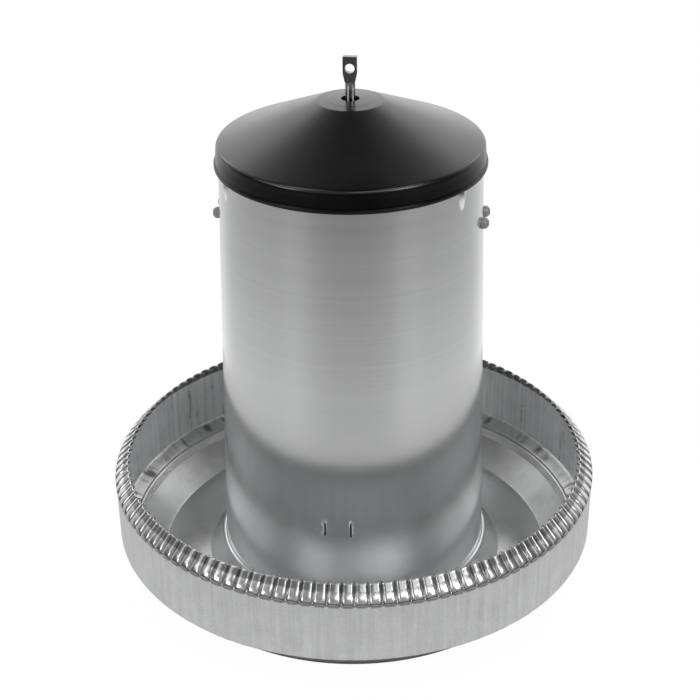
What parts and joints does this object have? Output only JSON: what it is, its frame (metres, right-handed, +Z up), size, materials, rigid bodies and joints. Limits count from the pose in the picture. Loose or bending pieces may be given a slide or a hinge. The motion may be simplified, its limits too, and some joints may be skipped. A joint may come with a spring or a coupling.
{
  "type": "poultry feeder",
  "caption": "Hanging poultry feeder: tapered sheet-metal hopper on a central rod in a wide pan with a crimped lip, a loose cone lid, and a pin that sets the feed gap.",
  "frame": {"origin": "on the ground under the rod, at the middle of the pan", "axes": "+Z up along the rod, -Y towards the front slots, +X to the right seen from the front"},
  "size_m": [0.4214, 0.4214, 0.4577],
  "materials": {
    "galvanised": "satin galvanised sheet",
    "zinc_plate": "dull zinc plate",
    "bright_steel": "bright zinc plate",
    "black_plastic": "satin black"
  },
  "bodies": {
    "base": {"pan_wall": "galvanised", "pan_dish": "galvanised", "pan_floor": "galvanised", "pan_cone": "galvanised", "hanger_rod": "bright_steel", "foot_washers": "zinc_plate", "foot_nuts": "zinc_plate"},
    "height_pin": {"height_pin": "bright_steel"},
    "stop_washer": {"stop_washer": "zinc_plate"},
    "hopper": {"hopper_tube": "galvanised", "crossbar": "zinc_plate", "crossbar_screws": "zinc_plate", "crossbar_washers": "zinc_plate", "crossbar_nuts": "zinc_plate", "guide_bar": "zinc_plate"},
    "lid": {"lid": "black_plastic"}
  },
  "joints": [
    {"name": "pin_pull", "type": "slide", "parent": "base", "child": "height_pin", "axis": [0, -1, 0], "range_m": [0, 0.03]},
    {"name": "hopper_turn", "type": "hinge", "parent": "base", "child": "stop_washer", "pos_m": [0, 0, 0.3128], "axis": [0, 0, 1], "continuous": true},
    {"name": "hopper_lift", "type": "slide", "parent": "stop_washer", "child": "hopper", "axis": [0, 0, 1], "range_m": [0, 0.02]},
    {"name": "lid_lift", "type": "slide", "parent": "hopper", "child": "lid", "axis": [0, 0, 1], "range_m": [0, 0.1]}
  ]
}
